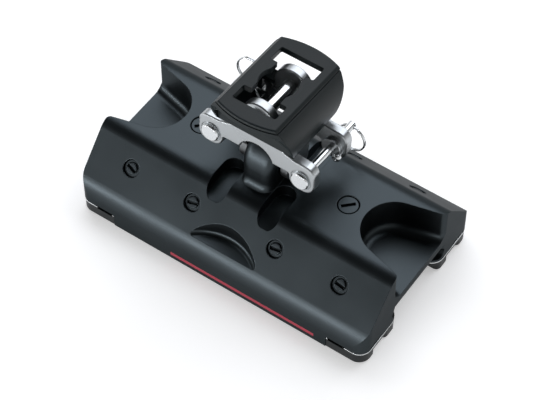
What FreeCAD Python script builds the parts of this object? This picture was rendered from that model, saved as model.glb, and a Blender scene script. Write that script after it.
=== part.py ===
import FreeCAD, Part
import os
from math import atan2, cos, degrees, pi, radians, sin, sqrt, tan

# Mainsheet traveller car for a 42 mm track, in millimetres
# X runs along the track, -Y is the front, +Z is up
# The origin is the middle of the car's footprint, on the plane that its feet stand on

# Car body
car_length = 244.0
car_width = 139.0
plan_corner_radius = 9.5
plateau_height = 65.0
crest_half_width = 34.5
crest_radius = 15.5
slope_foot_height = 26.5
shoulder_radius = 23.0
skirt_height = 1.0
skirt_thickness = 9.5

# Track tunnel and the ends of the legs
track_width = 42.0
tunnel_side_gap = 2.5
tunnel_roof_height = 28.5
tunnel_corner_radius = 2.0
leg_underside_height = 11.5
leg_end_length = 31.0
lead_in_radius = 10.0

# Balls, their running races and their return channels
ball_diameter = 12.0
ball_clearance = 0.3
ball_gap = 0.25
race_offset = 27.5
race_height = 20.0
return_wall = 2.2
turn_end_wall = 13.7

# Bays at both ends of the flat top
bay_radius = 24.5
bay_start = 76.3
bay_flare = 14.0
bay_mouth_radius = 4.0
bay_floor_height = 35.5
bay_floor_fillet = 7.0

# Finger scoops in the two slopes
scoop_width = 59.0
scoop_sagitta = 13.0
scoop_floor_height = 32.5
scoop_fillet = 3.5

# Hub lug and the pockets milled beside it
hub_width = 26.0
hub_radius = 23.0
hub_edge_radius = 8.0
hub_foot_radius = 12.0
hub_foot_spread = 9.5
pivot_height = 81.0
pocket_radius = 8.2
pocket_hub_gap = 0.2
pocket_floor_height = 54.5
pocket_inner_y = 18.0
pocket_outer_y = 36.3

# Slotted screws and plugs in the car
plateau_screw_x = 62.0
plateau_screw_diameter = 15.0
plateau_screw_depth = 11.0
slope_plug_places = (-88.0, -35.0, 35.0, 88.0)
slope_plug_y = 49.7
slope_plug_diameter = 12.2
slope_plug_depth = 8.0
slope_plug_step = (1.8, 1.4)
screw_ring_gap = 0.35
screw_recess = 0.4
screw_edge_chamfer = 0.5
slot_depth = 2.2
slot_width = 2.4
slot_share = 0.68
plateau_slot_turn = 45.0
slope_slot_turns = (-21.0, 14.0, 9.0, -9.0)

# End plates, end caps and their screws
plate_thickness = 1.0
end_joint_gap = 0.3
cap_inset = 0.3
cap_web_height = 7.5
cap_edge_bevel = 1.4
inner_foot_range = (28.0, 42.0)
outer_foot_width = 16.0
foot_corner_radius = 4.0
inner_cap_screw = (10.0, 34.5)
outer_cap_screw = (13.0, 10.0)
cap_screw_diameter = 5.0
cap_screw_head_diameter = 8.5
cap_screw_head_height = 3.0
cap_screw_top = 21.0
counterbore_depth = 3.6
counterbore_gap = 0.35
screw_clearance = 0.05
drain_slot_length = 13.5
drain_slot_height = 3.5
drain_slot_depth = 6.0
drain_slot_setback = 1.5
drain_slot_drop = 1.5
end_slot_range = (9.5, 23.5)
end_slot_height = 2.5

# Ball retainer strips under the legs
retainer_height = 8.5
retainer_side_gap = 0.3
retainer_screw_pitch = 62.0
retainer_screw_diameter = 4.0

# Toggle frame
cheek_inner_y = 16.0
cheek_thickness = 7.5
cheek_edge_bevel = 0.8
arch_radius = 14.0
cheek_underside_rise = 15.5
ear_pin_x = 37.0
ear_pin_rise = 15.0
ear_radius = 10.5
ear_top_rise = 14.0
notch_half_width = 20.4
notch_rise = 3.5
horn_half_width = 22.8
cheek_top_rise = 14.5
boss_radius = 7.5
boss_height = 3.0
cross_pin_rise = 7.0
lug_radius = 13.5
web_hub_gap = 1.0
web_thickness = 6.0
web_lobe_radius = 13.0
web_top_drop = 12.5
toggle_lean = 4.5

# Hinge pin, bush and the pins of the toggle
pivot_pin_diameter = 10.0
bush_diameter = 15.0
running_clearance = 0.05
fixed_clearance = 0.02
cross_pin_diameter = 10.0
cross_pin_head_diameter = 17.0
cross_pin_head_height = 2.5
cross_pin_tail = 3.0
clip_thickness = 1.0
clip_diameter = 15.0
clip_groove_depth = 1.0
ear_pin_diameter = 6.0
ear_pin_head_diameter = 14.0
ear_pin_head_height = 3.0
ear_pin_tail_end = 41.5
ear_pin_chamfer = 0.8
spot_face_depth = 0.6
spot_face_gap = 1.0
ring_hole_y = 38.5
ring_diameter = 23.0
ring_wire_diameter = 1.2
ring_turn_pitch = 1.25
ring_hole_gap = 0.25
right_ring_angle = 8.0
left_ring_angle = 104.0
stud_offset = (6.0, -4.4)
stud_diameter = 6.6
stud_height = 3.2
stud_socket_diameter = 3.0
stud_socket_depth = 1.8

# Moulded boot
boot_lug_cover = 2.5
boot_top_half_width = 22.7
boot_belly_half_width = 31.0
boot_belly_drop = 14.0
boot_hem_half_width = 24.0
boot_hem_drop = 21.5
boot_corner_y = 38.0
boot_middle_y = 42.5
boot_wall = 3.2
boot_top_thickness = 4.5
boot_edge_radius = 1.6
boot_sill_drop = 6.0
boot_groove_width = 1.2
boot_groove_depth = 0.8
boot_groove_drop = 3.4
boot_ledge_thickness = 3.5
window_slot_width = 34.6
window_slot_depth = 13.8
window_slot_y = 22.3
window_slot_radius = 1.5
window_eye_radius = 14.0
window_neck_width = 23.0
pin_room_gap = 1.0
seat_gap = 0.3

# Values worked out from the sizes above
half_length = car_length / 2
half_width = car_width / 2
slope_angle = degrees(atan2(plateau_height - slope_foot_height, half_width - crest_half_width))
tunnel_half_width = track_width / 2 + tunnel_side_gap
leg_middle_end = half_length - leg_end_length
skirt_inner_y = half_width - skirt_thickness
outer_foot_start = half_width - outer_foot_width
ball_radius = ball_diameter / 2
race_radius = ball_radius + ball_clearance
return_offset = skirt_inner_y - return_wall - race_radius
turn_radius = (return_offset - race_offset) / 2
race_half_length = half_length - turn_end_wall - turn_radius - race_radius
turn_centre_y = race_offset + turn_radius
plate_underside = leg_underside_height - plate_thickness
cheek_outer_y = cheek_inner_y + cheek_thickness
web_inner_x = hub_width / 2 + web_hub_gap
web_outer_x = web_inner_x + web_thickness
pocket_offset = hub_width / 2 + pocket_hub_gap + pocket_radius
cheek_underside_height = pivot_height + cheek_underside_rise
ear_pin_height = pivot_height + ear_pin_rise
ear_top_height = ear_pin_height + ear_top_rise
notch_height = ear_top_height + notch_rise
cheek_top_height = ear_top_height + cheek_top_rise
web_top_height = cheek_top_height - web_top_drop
lug_height = cheek_top_height + cross_pin_rise
boot_top_height = lug_height + lug_radius + boot_lug_cover
boot_belly_height = boot_top_height - boot_belly_drop
boot_sill_height = boot_top_height - boot_sill_drop
boot_hem_height = cheek_top_height - boot_hem_drop
drain_slot_start = leg_middle_end + drain_slot_setback
cheek_pin_head_y = cheek_outer_y - spot_face_depth
ring_path_radius = (ring_diameter - ring_wire_diameter) / 2
ring_sag = ring_path_radius - sqrt(ring_path_radius ** 2 - (ear_pin_diameter / 2) ** 2)
ring_drop = ring_path_radius - ring_sag / 2
ring_hole_radius = (ring_turn_pitch + ring_wire_diameter + ring_sag) / 2 + ring_hole_gap
above = 200.0
beyond = 5.0


def vector(x, y, z):
    return FreeCAD.Vector(x, y, z)


def box(low, high):
    size = [high[i] - low[i] for i in range(3)]
    return Part.makeBox(size[0], size[1], size[2], vector(*low))


def rounded_wire(corners, place):
    """Closed outline through corners (a, b, radius), with a tangent arc at each one that has a radius."""
    count = len(corners)
    arcs = []
    for i in range(count):
        here = vector(corners[i][0], corners[i][1], 0)
        radius = corners[i][2]
        back = vector(corners[i - 1][0], corners[i - 1][1], 0) - here
        ahead = vector(corners[(i + 1) % count][0], corners[(i + 1) % count][1], 0) - here
        back.normalize()
        ahead.normalize()
        if radius == 0:
            arcs.append((here, None, here))
            continue
        half_angle = back.getAngle(ahead) / 2
        middle_way = back + ahead
        middle_way.normalize()
        setback = radius / tan(half_angle)
        depth = radius / sin(half_angle) - radius
        arcs.append((here + back * setback, here + middle_way * depth, here + ahead * setback))
    edges = []
    for i in range(count):
        start, middle, end = arcs[i]
        following = arcs[(i + 1) % count][0]
        if middle is not None:
            points = [place(point.x, point.y) for point in (start, middle, end)]
            edges.append(Part.Arc(points[0], points[1], points[2]).toShape())
        if end.distanceToPoint(following) > 1e-6:
            edges.append(Part.LineSegment(place(end.x, end.y), place(following.x, following.y)).toShape())
    return Part.Wire(edges)


def prism(corners, axis, low, high):
    """Rounded outline carried along one axis: corners are (y, z), (x, z) or (x, y)."""
    if axis == "x":
        face = Part.Face(rounded_wire(corners, lambda a, b: vector(low, a, b)))
        return face.extrude(vector(high - low, 0, 0))
    if axis == "y":
        face = Part.Face(rounded_wire(corners, lambda a, b: vector(a, low, b)))
        return face.extrude(vector(0, high - low, 0))
    face = Part.Face(rounded_wire(corners, lambda a, b: vector(a, b, low)))
    return face.extrude(vector(0, 0, high - low))


def mirrored_corners(half):
    """Whole outline from its right half, listed from the bottom up."""
    other = [(-a, b, radius) for a, b, radius in reversed(half)]
    return list(half) + other


def mirror_x(shape):
    return shape.mirror(vector(0, 0, 0), vector(1, 0, 0))


def mirror_y(shape):
    return shape.mirror(vector(0, 0, 0), vector(0, 1, 0))


def four_ways(shape):
    """The shape and its mirror copies in the other three quarters."""
    pair = [shape, mirror_x(shape)]
    return pair + [mirror_y(one) for one in pair]


def edges_where(shape, test):
    return [edge for edge in shape.Edges if test(edge.BoundBox)]


def slotted_screw(diameter, depth, turn, step=(0.0, 0.0)):
    """Slotted plug that points down from the origin, with a chamfered rim and, if asked, a sunk step."""
    radius = diameter / 2
    step_width, step_depth = step
    face_radius = radius - step_width
    rim = screw_edge_chamfer
    outline = [(0, -depth), (radius, -depth)]
    if step_width > 0:
        outline += [(radius, -step_depth), (face_radius, -step_depth)]
    outline += [(face_radius, -rim), (face_radius - rim, 0), (0, 0)]
    points = [vector(a, 0, b) for a, b in outline]
    plug = Part.Face(Part.makePolygon(points + points[:1])).revolve(vector(0, 0, 0), vector(0, 0, 1), 360)
    half_slot = diameter * slot_share / 2
    slot = box((-half_slot, -slot_width / 2, -slot_depth), (half_slot, slot_width / 2, 1))
    slot.rotate(vector(0, 0, 0), vector(0, 0, 1), turn)
    return plug.cut(slot)


def screw_seat(diameter, depth):
    """Hole for a slotted screw, with a small countersink at its mouth."""
    radius = diameter / 2 + screw_ring_gap
    hole = Part.makeCylinder(radius, depth + screw_recess + above, vector(0, 0, -depth - screw_recess))
    sink_width = 2 * screw_ring_gap
    sink = Part.makeCone(radius, radius + sink_width, sink_width, vector(0, 0, -screw_ring_gap))
    return hole.fuse(sink)


def on_slope(shape, x):
    """Turns a shape that points up so that it stands on the front slope at x."""
    placed = shape.copy()
    placed.rotate(vector(0, 0, 0), vector(1, 0, 0), slope_angle)
    run = (half_width - slope_plug_y) * tan(radians(slope_angle))
    placed.translate(vector(x, -slope_plug_y, slope_foot_height + run))
    return placed


def lead_in(radius, low, high):
    """Tool that rounds a leg's inner end corner in plan, so that the track finds its way in."""
    x = half_length - radius
    y = tunnel_half_width + radius
    corner = box((x, tunnel_half_width - beyond, low), (half_length + beyond, y, high))
    return corner.cut(Part.makeCylinder(radius, high - low, vector(x, y, low)))


def end_plan():
    """Outline of one leg end in plan, from the tunnel to the car's rounded corner."""
    inner_x = leg_middle_end + end_joint_gap
    return [
        (inner_x, tunnel_half_width, 0),
        (half_length, tunnel_half_width, 0),
        (half_length, half_width, plan_corner_radius),
        (inner_x, half_width, 0),
    ]


def bay_tool():
    """Scoop from above into the car's end: round head, flaring walls and rounded mouth corners."""
    head_x = bay_start + bay_radius
    flare = radians(bay_flare)
    tangent_x = head_x - bay_radius * sin(flare)
    tangent_y = bay_radius * cos(flare)
    start_y = tangent_y - (tangent_x - bay_start) * tan(flare)
    mouth_y = tangent_y + (half_length - tangent_x) * tan(flare)
    outside_x = half_length + 2 * bay_floor_fillet + beyond
    outside_y = mouth_y + 2 * bay_mouth_radius
    rear = [
        (bay_start, start_y, bay_radius * 0.9999),
        (half_length, mouth_y, bay_mouth_radius),
        (half_length, outside_y, 0),
        (outside_x, outside_y, 0),
    ]
    front = [(x, -y, radius) for x, y, radius in reversed(rear)]
    tool = prism(rear + front, "z", bay_floor_height, above)
    floor_edges = edges_where(tool, lambda b: b.ZMax < bay_floor_height + 1e-6)
    inside_edges = [edge for edge in floor_edges if edge.BoundBox.XMin < half_length - 1e-3]
    return tool.makeFillet(bay_floor_fillet, inside_edges)


def scoop_tool():
    """Finger scoop: an upright mill cut whose round wall meets the front slope in a crescent."""
    half_span = scoop_width / 2
    radius = (half_span ** 2 + scoop_sagitta ** 2) / (2 * scoop_sagitta)
    run = (scoop_floor_height - slope_foot_height) / tan(radians(slope_angle))
    mouth_y = half_width - run
    centre = vector(0, -(mouth_y - scoop_sagitta + radius), scoop_floor_height)
    tool = Part.makeCylinder(radius, above, centre)
    floor_edges = edges_where(tool, lambda b: b.ZMax < scoop_floor_height + 1e-6)
    return tool.makeFillet(scoop_fillet, floor_edges)


def pocket_tool():
    """Upright pocket beside the hub that leaves room for a tilted cheek."""
    left = pocket_offset - pocket_radius
    right = pocket_offset + pocket_radius
    near = -pocket_inner_y + pocket_radius
    far = -pocket_outer_y - pocket_radius
    plan = [
        (left, far, pocket_radius * 0.999),
        (right, far, pocket_radius * 0.999),
        (right, near, pocket_radius * 0.999),
        (left, near, pocket_radius * 0.999),
    ]
    return prism(plan, "z", pocket_floor_height, above)


def hub_lug():
    """Round lug across the flat top that carries the toggle's hinge pin."""
    top = pivot_height + hub_radius
    foot_y = hub_radius + hub_foot_spread
    half = [
        (foot_y + 8.0, plateau_height - 20.0, 0),
        (foot_y, plateau_height - 2.0, 0),
        (hub_radius, plateau_height - 2.0, hub_foot_radius * 0.75),
        (hub_radius, top, hub_radius * 0.9999),
    ]
    lug = prism(mirrored_corners(half), "x", -hub_width / 2, hub_width / 2)
    crown_edges = edges_where(lug, lambda b: b.XLength < 1e-6 and b.ZMax > plateau_height)
    return lug.makeFillet(hub_edge_radius, crown_edges)


def ball_channel():
    """Running race, return channel and the turns at both ends, for the rear leg."""
    length = 2 * race_half_length
    along = vector(1, 0, 0)
    race_start = vector(-half_length - beyond, race_offset, race_height)
    race = Part.makeCylinder(race_radius, car_length + 2 * beyond, race_start, along)
    back_start = vector(-race_half_length, return_offset, race_height)
    back = Part.makeCylinder(race_radius, length, back_start, along)
    channel = race.fuse(back)
    for side in (-1, 1):
        x = side * race_half_length
        base = vector(x, turn_centre_y, leg_underside_height)
        rise = race_height + race_radius - leg_underside_height
        turn = Part.makeCylinder(turn_radius + race_radius, rise, base)
        turn = turn.cut(Part.makeCylinder(turn_radius - race_radius, rise, base))
        reach = turn_radius + race_radius + beyond
        half_space = box(
            (min(x, x + side * reach), turn_centre_y - reach, leg_underside_height),
            (max(x, x + side * reach), turn_centre_y + reach, race_height + race_radius),
        )
        channel = channel.fuse(turn.common(half_space))
    return channel


def race_slots():
    """Slots that open the rear leg's race and return channel downwards, for the strip's ribs."""
    slots = []
    for centre in (race_offset, return_offset):
        slots.append(box(
            (-leg_middle_end, centre - race_radius, leg_underside_height - 1),
            (leg_middle_end, centre + race_radius, race_height),
        ))
    return slots


def side_slot():
    """Drain slot in the side of the rear right leg end, across the joint of its plate and cap."""
    low = plate_underside - drain_slot_drop
    return box(
        (drain_slot_start, half_width - drain_slot_depth, low),
        (drain_slot_start + drain_slot_length, half_width + beyond, low + drain_slot_height),
    )


def cap_screw_places():
    """Places of a cap's screws: each is given from the car's end and from its side."""
    pair = (inner_cap_screw, outer_cap_screw)
    return [(half_length - from_end, half_width - from_side) for from_end, from_side in pair]


def retainer_screw_places():
    return [(i * retainer_screw_pitch, turn_centre_y) for i in (-1, 0, 1)]


def screw_hole(place, diameter, low, high):
    radius = diameter / 2 + screw_clearance
    return Part.makeCylinder(radius, high - low, vector(place[0], place[1], low))


def car_blank():
    """Outer form of the car: its section along the track, with rounded corners in plan."""
    half = [
        (half_width, skirt_height, 0),
        (half_width, slope_foot_height, shoulder_radius),
        (crest_half_width, plateau_height, crest_radius),
    ]
    bar = prism(mirrored_corners(half), "x", -half_length, half_length)
    plan_half = [(half_length, side * half_width, plan_corner_radius) for side in (-1, 1)]
    plan = prism(mirrored_corners(plan_half), "z", 0, above)
    return bar.common(plan)


def car_underside():
    """All that is cut from below: the tunnel, the seats of strips and caps, races and screw holes."""
    reach = half_length + beyond
    tunnel_half = [
        (tunnel_half_width, -beyond, 0),
        (tunnel_half_width, tunnel_roof_height, tunnel_corner_radius),
    ]
    cuts = [prism(mirrored_corners(tunnel_half), "x", -reach, reach)]
    cuts.append(box((-reach, -skirt_inner_y, -beyond), (reach, skirt_inner_y, leg_underside_height)))
    for side in (-1, 1):
        inner = side * leg_middle_end
        outer = side * reach
        cuts.append(box(
            (min(inner, outer), -half_width - beyond, -beyond),
            (max(inner, outer), half_width + beyond, leg_underside_height),
        ))
    cuts += four_ways(lead_in(lead_in_radius, -beyond, tunnel_roof_height))
    rear = ball_channel()
    cuts += [rear, mirror_y(rear)]
    for slot in race_slots():
        cuts += [slot, mirror_y(slot)]
    end_slot = box(
        (half_length - drain_slot_depth, half_width - end_slot_range[1], leg_underside_height),
        (half_length + beyond, half_width - end_slot_range[0], leg_underside_height + end_slot_height),
    )
    cuts += four_ways(side_slot())
    cuts += four_ways(end_slot)
    low = leg_underside_height - 1
    high = cap_screw_top + seat_gap
    for place in cap_screw_places():
        cuts += four_ways(screw_hole(place, cap_screw_diameter, low, high))
    for place in retainer_screw_places():
        hole = screw_hole(place, retainer_screw_diameter, low, high)
        cuts += [hole, mirror_y(hole)]
    return cuts


def car_topside():
    """All that is cut from above: end bays, finger scoops, pockets and screw seats."""
    bay = bay_tool()
    scoop = scoop_tool()
    cuts = [bay, mirror_x(bay), scoop, mirror_y(scoop)]
    cuts += four_ways(pocket_tool())
    seat = screw_seat(plateau_screw_diameter, plateau_screw_depth)
    for side in (-1, 1):
        cuts.append(seat.translated(vector(side * plateau_screw_x, 0, plateau_height)))
    plug_seat = screw_seat(slope_plug_diameter, slope_plug_depth)
    for x in slope_plug_places:
        front = on_slope(plug_seat, x)
        cuts += [front, mirror_y(front)]
    return cuts


def pivot_hole(radius):
    return Part.makeCylinder(radius, 2 * above, vector(-above, 0, pivot_height), vector(1, 0, 0))


def car_body():
    body = car_blank().fuse(hub_lug()).removeSplitter()
    for tool in car_topside() + car_underside():
        body = body.cut(tool)
    bore_radius = bush_diameter / 2 + fixed_clearance
    bore_start = vector(-hub_width / 2 - 1, 0, pivot_height)
    bore = Part.makeCylinder(bore_radius, hub_width + 2, bore_start, vector(1, 0, 0))
    return body.cut(bore)


def pivot_bush():
    bush = Part.makeCylinder(
        bush_diameter / 2, hub_width, vector(-hub_width / 2, 0, pivot_height), vector(1, 0, 0)
    )
    return bush.cut(pivot_hole(pivot_pin_diameter / 2 + running_clearance))


def plateau_screws():
    screw = slotted_screw(plateau_screw_diameter, plateau_screw_depth, plateau_slot_turn)
    level = plateau_height - screw_recess
    places = [vector(side * plateau_screw_x, 0, level) for side in (-1, 1)]
    return Part.makeCompound([screw.translated(place) for place in places])


def front_slope_plugs():
    plugs = []
    for x, turn in zip(slope_plug_places, slope_slot_turns):
        plug = slotted_screw(slope_plug_diameter, slope_plug_depth, turn, slope_plug_step)
        plugs.append(on_slope(plug.translated(vector(0, 0, -screw_recess)), x))
    return Part.makeCompound(plugs)


def end_plate():
    """Thin stainless plate under the end of the rear right leg."""
    plate = prism(end_plan(), "z", plate_underside, leg_underside_height)
    plate = plate.cut(lead_in(lead_in_radius, 0, above)).cut(side_slot())
    for place in cap_screw_places():
        plate = plate.cut(screw_hole(place, cap_screw_diameter, 0, above))
    return plate


def end_cap():
    """Moulded cap under the rear right end plate: a web with two feet that the car stands on."""
    inner_x = leg_middle_end + end_joint_gap
    end_x = half_length - cap_inset
    side_y = half_width - cap_inset
    web_plan = [
        (inner_x, tunnel_half_width + cap_inset, 0),
        (end_x, tunnel_half_width + cap_inset, 0),
        (end_x, side_y, plan_corner_radius - cap_inset),
        (inner_x, side_y, 0),
    ]
    cap = prism(web_plan, "z", cap_web_height, plate_underside)
    outer_plan = [
        (inner_x, outer_foot_start, 0),
        (end_x, outer_foot_start, foot_corner_radius),
        (end_x, side_y, plan_corner_radius - cap_inset),
        (inner_x, side_y, 0),
    ]
    inner_plan = [
        (inner_x, inner_foot_range[0], 0),
        (end_x, inner_foot_range[0], foot_corner_radius),
        (end_x, inner_foot_range[1], foot_corner_radius),
        (inner_x, inner_foot_range[1], 0),
    ]
    cap = cap.cut(side_slot())
    for plan in (outer_plan, inner_plan):
        foot = prism(plan, "z", 0, cap_web_height)
        sole_edges = edges_where(foot, lambda b: b.ZMax < 1e-6 and b.XMax > inner_x + 1)
        cap = cap.fuse(foot.makeChamfer(cap_edge_bevel, sole_edges))
    cap = cap.removeSplitter().cut(lead_in(lead_in_radius + cap_inset, 0, above))
    head_radius = cap_screw_head_diameter / 2 + counterbore_gap
    for x, y in cap_screw_places():
        cap = cap.cut(screw_hole((x, y), cap_screw_diameter, -1, above))
        cap = cap.cut(Part.makeCylinder(head_radius, counterbore_depth + 1, vector(x, y, -1)))
    return cap


def underside_screw(place, diameter, head_low, head_height):
    """Socket-head screw driven up from below."""
    x, y = place
    shank_low = head_low + head_height
    shank = Part.makeCylinder(diameter / 2, cap_screw_top - shank_low, vector(x, y, shank_low))
    head_radius = diameter * cap_screw_head_diameter / cap_screw_diameter / 2
    head = Part.makeCylinder(head_radius, head_height, vector(x, y, head_low))
    socket = Part.makeCylinder(diameter / 4, head_height * 0.6, vector(x, y, head_low))
    return head.fuse(shank).removeSplitter().cut(socket)


def end_cap_screws():
    screws = []
    head_low = counterbore_depth - cap_screw_head_height
    for place in cap_screw_places():
        screws += four_ways(underside_screw(place, cap_screw_diameter, head_low, cap_screw_head_height))
    return Part.makeCompound(screws)


def retainer_rib(centre):
    """Rib of the rear strip that fills a slot and carries the balls from below."""
    low_y = max(tunnel_half_width, centre - race_radius) + retainer_side_gap
    high_y = centre + race_radius - retainer_side_gap
    end_x = leg_middle_end - end_joint_gap
    rib_top = race_height - race_radius * 0.75
    rib = box((-end_x, low_y, leg_underside_height - 1), (end_x, high_y, rib_top))
    return rib.cut(ball_channel())


def ball_retainer():
    """Long strip under the rear leg that closes the race and the return channel from below."""
    low = leg_underside_height - retainer_height
    end_x = leg_middle_end - end_joint_gap
    strip = box(
        (-end_x, tunnel_half_width + retainer_side_gap, low),
        (end_x, skirt_inner_y - retainer_side_gap, leg_underside_height),
    )
    long_edges = edges_where(strip, lambda b: b.XLength > end_x and b.ZMax < low + 1e-6)
    strip = strip.makeChamfer(cap_edge_bevel, long_edges)
    for centre in (race_offset, return_offset):
        strip = strip.fuse(retainer_rib(centre))
    strip = strip.removeSplitter()
    for x, y in retainer_screw_places():
        radius = retainer_screw_head_radius() + counterbore_gap
        strip = strip.cut(screw_hole((x, y), retainer_screw_diameter, 0, above))
        strip = strip.cut(Part.makeCylinder(radius, counterbore_depth, vector(x, y, low)))
    return strip


def retainer_screw_head_radius():
    return retainer_screw_diameter * cap_screw_head_diameter / cap_screw_diameter / 2


def retainer_screws():
    head_low = leg_underside_height - retainer_height + counterbore_depth - cap_screw_head_height
    screws = []
    for place in retainer_screw_places():
        screw = underside_screw(place, retainer_screw_diameter, head_low, cap_screw_head_height)
        screws += [screw, mirror_y(screw)]
    return Part.makeCompound(screws)


def loop_point(travel):
    """Point on the rear loop's centre line at a distance from its start, along the race first."""
    straight = 2 * race_half_length
    turn = pi * turn_radius
    if travel < straight:
        return vector(-race_half_length + travel, race_offset, race_height)
    travel -= straight
    if travel < turn:
        angle = travel / turn_radius
        x = race_half_length + turn_radius * sin(angle)
        return vector(x, turn_centre_y - turn_radius * cos(angle), race_height)
    travel -= turn
    if travel < straight:
        return vector(race_half_length - travel, return_offset, race_height)
    angle = (travel - straight) / turn_radius
    x = -race_half_length - turn_radius * sin(angle)
    return vector(x, turn_centre_y + turn_radius * cos(angle), race_height)


def race_ball():
    """One ball, with eighteen flat faces whose outermost corners lie on its sphere."""
    reach = ball_radius / sqrt(1.5)
    cube = box((-reach, -reach, -reach), (reach, reach, reach))
    ball = cube
    for axis in (vector(1, 0, 0), vector(0, 1, 0), vector(0, 0, 1)):
        turned = cube.copy()
        turned.rotate(vector(0, 0, 0), axis, 45)
        ball = ball.common(turned)
    return ball


def ball_loop():
    """Balls spread evenly round the rear leg's race, turns and return channel."""
    loop_length = 4 * race_half_length + 2 * pi * turn_radius
    count = int(loop_length / (ball_diameter + ball_gap))
    ball = race_ball()
    return Part.makeCompound([ball.translated(loop_point(i * loop_length / count)) for i in range(count)])


def cheek_outline():
    """Cheek and its ears, seen from the front: (x, z, radius), arch left out."""
    ear_end = ear_pin_x + ear_radius
    ear_low = ear_pin_height - ear_radius
    half = [
        (ear_pin_x - ear_radius + 0.5, cheek_underside_height, 2.0),
        (ear_pin_x - ear_radius + 1.5, ear_low, ear_radius * 0.8),
        (ear_end, ear_low, ear_radius * 0.8),
        (ear_end, ear_top_height, 7.5),
        (notch_half_width + 10, ear_top_height + 0.6, 12.0),
        (notch_half_width + 0.6, notch_height, 2.5),
        (notch_half_width, cheek_top_height - 6.5, 1.0),
        (horn_half_width, cheek_top_height - 1.8, 1.2),
        (lug_radius + 2, cheek_top_height, 2.0),
    ]
    return mirrored_corners(half)


def front_cheek():
    """Front side of the toggle: ears, arch over the hub, upper lug and pin bores."""
    front = -cheek_outer_y
    back = -cheek_inner_y
    plate = prism(cheek_outline(), "y", front, back)
    arch_centre = cheek_underside_height + arch_radius * 0.73 - arch_radius
    across = vector(0, 1, 0)
    arch = Part.makeCylinder(
        arch_radius, cheek_thickness + 2, vector(0, front - 1, arch_centre), across
    )
    plate = plate.cut(arch)
    face_edges = edges_where(plate, lambda b: b.YLength < 1e-6)
    plate = plate.makeChamfer(cheek_edge_bevel, face_edges)
    lug_half = [
        (lug_radius, cheek_top_height - 4, 0),
        (lug_radius, lug_height + lug_radius, lug_radius * 0.9999),
    ]
    lug = prism(mirrored_corners(lug_half), "y", front, back)
    rim = edges_where(lug, lambda b: b.YLength < 1e-6 and b.ZMax > cheek_top_height + 1)
    plate = plate.fuse(lug.makeChamfer(cheek_edge_bevel, rim))
    for side in (-1, 1):
        boss = Part.makeCylinder(
            boss_radius, boss_height + 1, vector(side * ear_pin_x, back - 1, ear_pin_height), across
        )
        plate = plate.fuse(boss)
    return plate


def toggle_web():
    """Web of the right side that joins the cheeks and carries the hinge pin."""
    half = [
        (web_lobe_radius, pivot_height - web_lobe_radius, web_lobe_radius * 0.999),
        (web_lobe_radius, pivot_height + web_lobe_radius * 0.6, 4.0),
        (cheek_inner_y, cheek_underside_height + 1.5, 0),
        (cheek_inner_y, web_top_height, 0),
    ]
    return prism(mirrored_corners(half), "x", web_inner_x, web_outer_x)


def toggle_frame():
    cheek = front_cheek()
    web = toggle_web()
    frame = cheek.fuse(mirror_y(cheek)).fuse(web).fuse(mirror_x(web)).removeSplitter()
    across = vector(0, 1, 0)
    frame = frame.cut(pivot_hole(pivot_pin_diameter / 2 + fixed_clearance))
    cross_bore = Part.makeCylinder(
        cross_pin_diameter / 2 + running_clearance, 2 * above, vector(0, -above, lug_height), across
    )
    frame = frame.cut(cross_bore)
    for side in (-1, 1):
        x = side * ear_pin_x
        bore = Part.makeCylinder(
            ear_pin_diameter / 2 + running_clearance, 2 * above, vector(x, -above, ear_pin_height), across
        )
        face_radius = ear_pin_head_diameter / 2 + spot_face_gap
        face_start = vector(x, -cheek_pin_head_y - beyond, ear_pin_height)
        face = Part.makeCylinder(face_radius, beyond, face_start, across)
        frame = frame.cut(bore).cut(face)
        seat_radius = stud_diameter / 4 + fixed_clearance
        seat_start = stud_centre(side, cheek_inner_y - boss_height)
        stud_seat = Part.makeCylinder(seat_radius, boss_height + stud_height, seat_start, across)
        frame = frame.cut(stud_seat)
    return frame


def stud_centre(side, y):
    return vector(side * (ear_pin_x + stud_offset[0]), y, ear_pin_height + stud_offset[1])


def lock_studs():
    """Small round studs on the inner faces of the rear ears, with a socket in each head."""
    across = vector(0, 1, 0)
    studs = []
    for side in (-1, 1):
        head_y = cheek_inner_y - boss_height - stud_height
        head = Part.makeCylinder(stud_diameter / 2, stud_height, stud_centre(side, head_y), across)
        rim = edges_where(head, lambda b: b.YLength < 1e-6 and b.YMax < head_y + 1e-6)
        head = head.makeChamfer(stud_height * 0.3, rim)
        socket_radius = stud_socket_diameter / 2
        socket = Part.makeCylinder(socket_radius, stud_socket_depth, stud_centre(side, head_y), across)
        shank_start = stud_centre(side, head_y + stud_height)
        shank = Part.makeCylinder(stud_diameter / 4, boss_height + stud_height, shank_start, across)
        studs.append(head.fuse(shank).removeSplitter().cut(socket))
    return Part.makeCompound(studs)


def pivot_pin():
    pin = Part.makeCylinder(
        pivot_pin_diameter / 2, 2 * web_outer_x, vector(-web_outer_x, 0, pivot_height), vector(1, 0, 0)
    )
    return pin.makeChamfer(ear_pin_chamfer, edges_where(pin, lambda b: b.XLength < 1e-6))


def cross_pin():
    """Headed pin across the upper lugs, with a groove for its clip."""
    across = vector(0, 1, 0)
    head_y = -cheek_outer_y - running_clearance - cross_pin_head_height
    tail_y = cheek_outer_y + cross_pin_tail
    pin = Part.makeCylinder(cross_pin_diameter / 2, tail_y - head_y, vector(0, head_y, lug_height), across)
    head = Part.makeCylinder(
        cross_pin_head_diameter / 2, cross_pin_head_height, vector(0, head_y, lug_height), across
    )
    groove_y = cheek_outer_y + running_clearance
    groove_width = clip_thickness + 2 * running_clearance
    groove = Part.makeCylinder(cross_pin_diameter, groove_width, vector(0, groove_y, lug_height), across)
    groove = groove.cut(Part.makeCylinder(
        cross_pin_diameter / 2 - clip_groove_depth, 2 * above, vector(0, -above, lug_height), across
    ))
    return pin.fuse(head).removeSplitter().cut(groove)


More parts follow.
